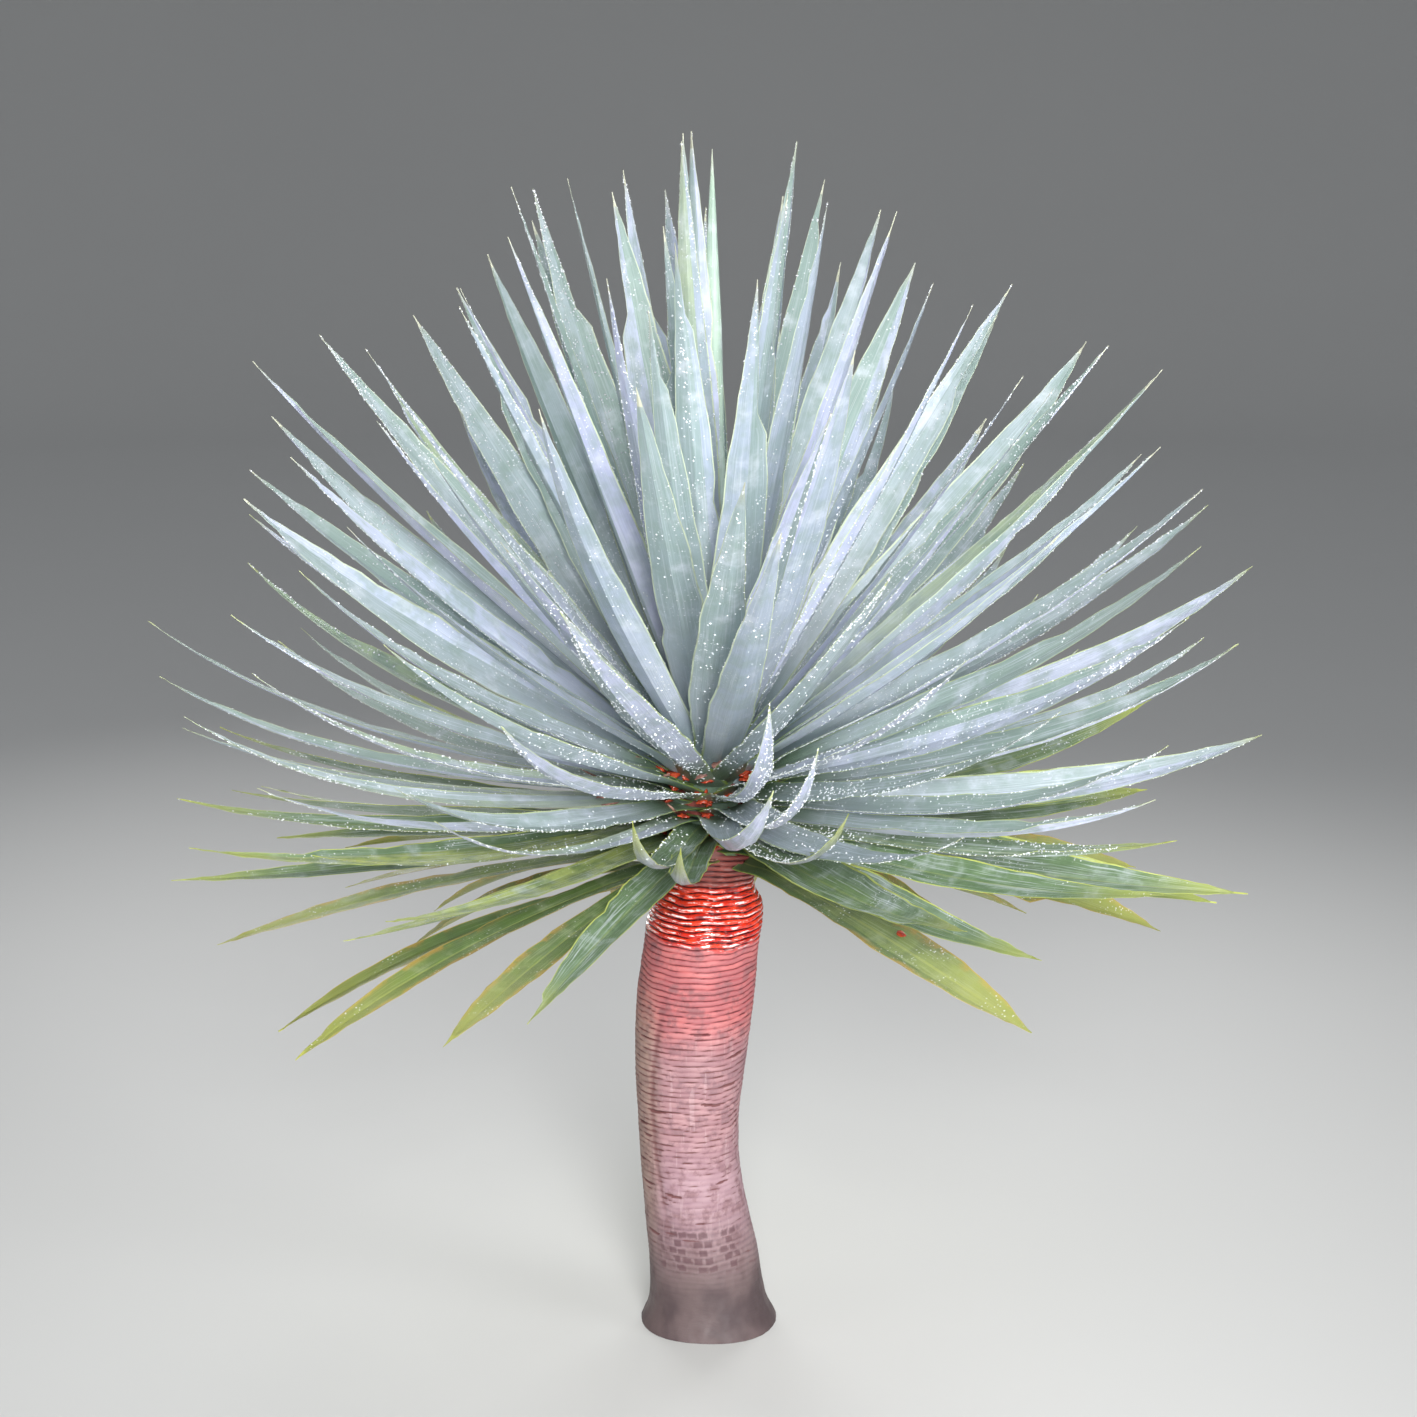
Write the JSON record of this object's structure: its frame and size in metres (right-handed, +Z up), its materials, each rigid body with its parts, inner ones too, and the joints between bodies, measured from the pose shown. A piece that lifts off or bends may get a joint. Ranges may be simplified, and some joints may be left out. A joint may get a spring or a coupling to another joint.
{
  "type": "dragon tree",
  "caption": "Young single-headed dragon tree: a ringed red trunk, flat cut at ground level, under a round head of stiff sword leaves round a rolled spear.",
  "frame": {"origin": "middle of the flat cut under the trunk, at ground level", "axes": "+Z up along the tree, -Y towards the viewer of the picture, +X to the viewer's right"},
  "size_m": [0.9087, 0.9155, 1.0336],
  "materials": {
    "bark": "ringed grey-pink bark that turns wet, glossy red just under the leaves",
    "leaf": "blue-grey waxy bloom over green, pale margins, greener and yellower low down",
    "spear": "pale green rolled young leaf with a waxy bloom"
  },
  "bodies": {
    "root": {"leaf_spear": "spear", "leaf_turn_01_front": "leaf", "leaf_turn_01_rear": "leaf", "leaf_turn_02_front": "leaf", "leaf_turn_02_rear": "leaf", "leaf_turn_03_front": "leaf", "leaf_turn_03_rear": "leaf", "leaf_turn_04_front": "leaf", "leaf_turn_04_rear": "leaf", "leaf_turn_05_front": "leaf", "leaf_turn_05_rear": "leaf", "leaf_turn_06_front": "leaf", "leaf_turn_06_rear": "leaf", "leaf_turn_07_front": "leaf", "leaf_turn_07_rear": "leaf", "leaf_turn_08_front": "leaf", "leaf_turn_08_rear": "leaf", "leaf_turn_09_front": "leaf", "leaf_turn_09_rear": "leaf", "leaf_turn_10_front": "leaf", "leaf_turn_10_rear": "leaf", "leaf_turn_11_front": "leaf", "leaf_turn_11_rear": "leaf", "leaf_turn_12_front": "leaf", "leaf_turn_12_rear": "leaf", "leaf_turn_13_front": "leaf", "leaf_turn_13_rear": "leaf", "leaf_turn_14_front": "leaf", "leaf_turn_14_rear": "leaf", "leaf_turn_15_front": "leaf", "leaf_turn_15_rear": "leaf", "leaf_turn_16_front": "leaf", "leaf_turn_16_rear": "leaf", "leaf_turn_17_front": "leaf", "leaf_turn_17_rear": "leaf", "leaf_turn_18_front": "leaf", "leaf_turn_18_rear": "leaf", "leaf_turn_19_front": "leaf", "leaf_turn_19_rear": "leaf", "leaf_turn_20_front": "leaf", "leaf_turn_20_rear": "leaf", "leaf_turn_21_round": "leaf", "leaf_turn_22_round": "leaf", "leaf_turn_23_round": "leaf", "leaf_turn_24_round": "leaf", "trunk": "bark"}
  },
  "joints": []
}
